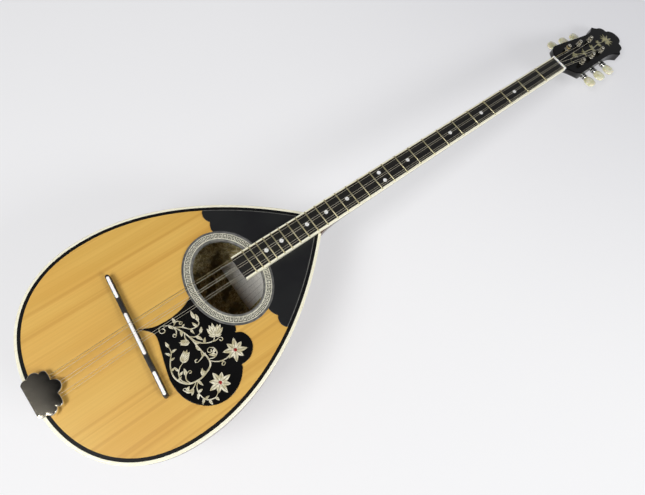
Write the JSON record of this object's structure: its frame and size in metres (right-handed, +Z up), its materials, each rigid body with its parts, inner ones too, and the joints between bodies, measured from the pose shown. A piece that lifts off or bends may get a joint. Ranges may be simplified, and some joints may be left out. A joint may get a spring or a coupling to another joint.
{
  "type": "greek bouzouki",
  "caption": "Long-necked lute with a staved bowl, flat soundboard with oval hole, paired strings, fretted neck and geared tuners, lying on its back.",
  "frame": {"origin": "on the table, under the middle of the part's box, as it lies on its bowl and the tip of its head", "axes": "+X along the neck towards the head, sinking by 6.9 degrees as the face does; +Y across towards the bass side; +Z up"},
  "size_m": [0.9394, 0.263, 0.1665],
  "materials": {
    "spruce": "satin lacquered spruce with straight grain",
    "walnut": "satin lacquered walnut staves",
    "inner_wood": "raw lime wood",
    "black_wood": "satin black-stained wood",
    "black_lacquer": "polished black celluloid",
    "ivoroid": "satin ivory celluloid",
    "bone": "polished bone",
    "silver_trim": "pressed silvery band",
    "chrome": "polished chrome plate",
    "pearl": "cream pearl celluloid",
    "steel": "plain drawn steel wire",
    "wound": "bronze winding on steel wire",
    "paper": "plain grey paper"
  },
  "bodies": {
    "instrument": {"bowl": "walnut", "neck_block": "inner_wood", "tail_block": "inner_wood", "lining_bass": "inner_wood", "lining_treble": "inner_wood", "brace_1": "inner_wood", "brace_2": "inner_wood", "brace_3": "inner_wood", "soundboard": "spruce", "body_binding": "ivoroid", "body_purfling": "black_wood", "sound_hole_ring": "silver_trim", "upper_guard": "black_lacquer", "pickguard": "black_lacquer", "label": "paper", "neck": "walnut", "fretboard": "black_wood", "fretboard_binding_bass": "ivoroid", "fretboard_binding_treble": "ivoroid", "nut": "bone", "bridge_base": "black_wood", "bridge_saddle": "bone", "bridge_tip_bass": "bone", "bridge_tip_treble": "bone", "headstock": "black_wood", "head_overlay": "black_lacquer", "tuner_plate_bass": "chrome", "tuner_plate_screw_bass_1": "steel", "tuner_plate_screw_bass_2": "steel", "tuner_plate_treble": "chrome", "tuner_plate_screw_treble_1": "steel", "tuner_plate_screw_treble_2": "steel", "tailpiece_base": "chrome", "tailpiece_screw_bass": "steel", "tailpiece_screw_treble": "steel", "string_1": "wound", "string_2": "steel", "string_3": "steel", "string_4": "steel", "string_5": "steel", "string_6": "steel"},
    "key_bass_1": {"tuner_key_bass_1": "chrome", "tuner_button_bass_1": "pearl"},
    "post_bass_1": {"tuner_post_bass_1": "chrome"},
    "key_bass_2": {"tuner_key_bass_2": "chrome", "tuner_button_bass_2": "pearl"},
    "post_bass_2": {"tuner_post_bass_2": "chrome"},
    "key_bass_3": {"tuner_key_bass_3": "chrome", "tuner_button_bass_3": "pearl"},
    "post_bass_3": {"tuner_post_bass_3": "chrome"},
    "key_treble_1": {"tuner_key_treble_1": "chrome", "tuner_button_treble_1": "pearl"},
    "post_treble_1": {"tuner_post_treble_1": "chrome"},
    "key_treble_2": {"tuner_key_treble_2": "chrome", "tuner_button_treble_2": "pearl"},
    "post_treble_2": {"tuner_post_treble_2": "chrome"},
    "key_treble_3": {"tuner_key_treble_3": "chrome", "tuner_button_treble_3": "pearl"},
    "post_treble_3": {"tuner_post_treble_3": "chrome"},
    "cover": {"tailpiece_cover": "chrome"}
  },
  "joints": [
    {"name": "key_bass_1_turn", "type": "hinge", "parent": "instrument", "child": "key_bass_1", "pos_m": [0.35554, 0.01408, 0.0353], "axis": [0.0476, 0.9987, -0.0172], "continuous": true},
    {"name": "post_bass_1_turn", "type": "hinge", "parent": "instrument", "child": "post_bass_1", "pos_m": [0.35146, 0.01458, 0.05282], "axis": [0.3397, 0, 0.9405], "continuous": true},
    {"name": "key_bass_2_turn", "type": "hinge", "parent": "instrument", "child": "key_bass_2", "pos_m": [0.3824, 0.01264, 0.02559], "axis": [0.0476, 0.9987, -0.0172], "continuous": true},
    {"name": "post_bass_2_turn", "type": "hinge", "parent": "instrument", "child": "post_bass_2", "pos_m": [0.37833, 0.01313, 0.04312], "axis": [0.3397, 0, 0.9405], "continuous": true},
    {"name": "key_bass_3_turn", "type": "hinge", "parent": "instrument", "child": "key_bass_3", "pos_m": [0.40927, 0.01119, 0.01589], "axis": [0.0476, 0.9987, -0.0172], "continuous": true},
    {"name": "post_bass_3_turn", "type": "hinge", "parent": "instrument", "child": "post_bass_3", "pos_m": [0.40519, 0.01168, 0.03342], "axis": [0.3397, 0, 0.9405], "continuous": true},
    {"name": "key_treble_1_turn", "type": "hinge", "parent": "instrument", "child": "key_treble_1", "pos_m": [0.35554, -0.01408, 0.0353], "axis": [0.0476, -0.9987, -0.0172], "continuous": true},
    {"name": "post_treble_1_turn", "type": "hinge", "parent": "instrument", "child": "post_treble_1", "pos_m": [0.35146, -0.01458, 0.05282], "axis": [0.3397, 0, 0.9405], "continuous": true},
    {"name": "key_treble_2_turn", "type": "hinge", "parent": "instrument", "child": "key_treble_2", "pos_m": [0.3824, -0.01264, 0.02559], "axis": [0.0476, -0.9987, -0.0172], "continuous": true},
    {"name": "post_treble_2_turn", "type": "hinge", "parent": "instrument", "child": "post_treble_2", "pos_m": [0.37833, -0.01313, 0.04312], "axis": [0.3397, 0, 0.9405], "continuous": true},
    {"name": "key_treble_3_turn", "type": "hinge", "parent": "instrument", "child": "key_treble_3", "pos_m": [0.40927, -0.01119, 0.01589], "axis": [0.0476, -0.9987, -0.0172], "continuous": true},
    {"name": "post_treble_3_turn", "type": "hinge", "parent": "instrument", "child": "post_treble_3", "pos_m": [0.40519, -0.01168, 0.03342], "axis": [0.3397, 0, 0.9405], "continuous": true},
    {"name": "cover_slide", "type": "slide", "parent": "instrument", "child": "cover", "axis": [0.9986, 0, -0.0534], "range_m": [0, 0.025]}
  ],
  "couplings": [
    {"joint": "post_bass_1_turn", "follows": "key_bass_1_turn", "ratio": 0.071429},
    {"joint": "post_bass_2_turn", "follows": "key_bass_2_turn", "ratio": 0.071429},
    {"joint": "post_bass_3_turn", "follows": "key_bass_3_turn", "ratio": 0.071429},
    {"joint": "post_treble_1_turn", "follows": "key_treble_1_turn", "ratio": -0.071429},
    {"joint": "post_treble_2_turn", "follows": "key_treble_2_turn", "ratio": -0.071429},
    {"joint": "post_treble_3_turn", "follows": "key_treble_3_turn", "ratio": -0.071429}
  ]
}
